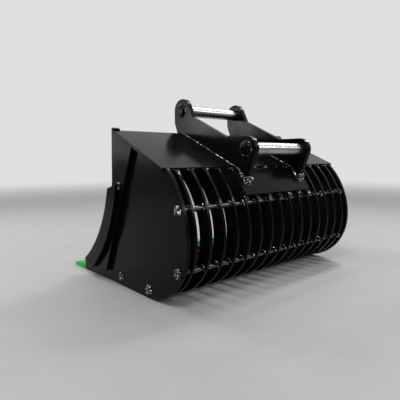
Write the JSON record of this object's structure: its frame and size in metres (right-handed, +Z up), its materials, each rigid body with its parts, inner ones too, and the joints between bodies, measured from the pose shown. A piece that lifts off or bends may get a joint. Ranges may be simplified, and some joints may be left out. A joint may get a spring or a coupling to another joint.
{
  "type": "skeleton bucket",
  "caption": "Excavator skeleton bucket with an open grille of curved ribs, a sloping top plate, side cutters, a bevelled cutting edge and two hitch ears with cross pins.",
  "frame": {"origin": "on the ground under the middle of the bucket, at the bottom centre of its box", "axes": "+X across the bucket to its right side, +Y to the ribbed back, +Z up; the mouth faces -Y"},
  "size_m": [1.55, 1.225, 1.0987],
  "materials": {
    "black_paint": "satin black enamel",
    "green_paint": "satin green enamel",
    "pin_steel": "ground steel, lightly oiled"
  },
  "bodies": {
    "root": {"back_plate": "black_paint", "cutting_edge": "green_paint", "ear_left": "black_paint", "ear_right": "black_paint", "lip_plate": "black_paint", "pin_front": "pin_steel", "pin_rear": "pin_steel", "reinforcement_left": "black_paint", "reinforcement_right": "black_paint", "rib_01": "black_paint", "rib_02": "black_paint", "rib_03": "black_paint", "rib_04": "black_paint", "rib_05": "black_paint", "rib_06": "black_paint", "rib_07": "black_paint", "rib_08": "black_paint", "rib_09": "black_paint", "rib_10": "black_paint", "rib_11": "black_paint", "rib_12": "black_paint", "rib_13": "black_paint", "rib_14": "black_paint", "rib_15": "black_paint", "rod_floor": "black_paint", "rod_heel": "black_paint", "rod_lower_back": "black_paint", "rod_upper_back": "black_paint", "side_cutter_left": "black_paint", "side_cutter_right": "black_paint", "side_plate_left": "black_paint", "side_plate_right": "black_paint", "top_plate": "black_paint"}
  },
  "joints": []
}
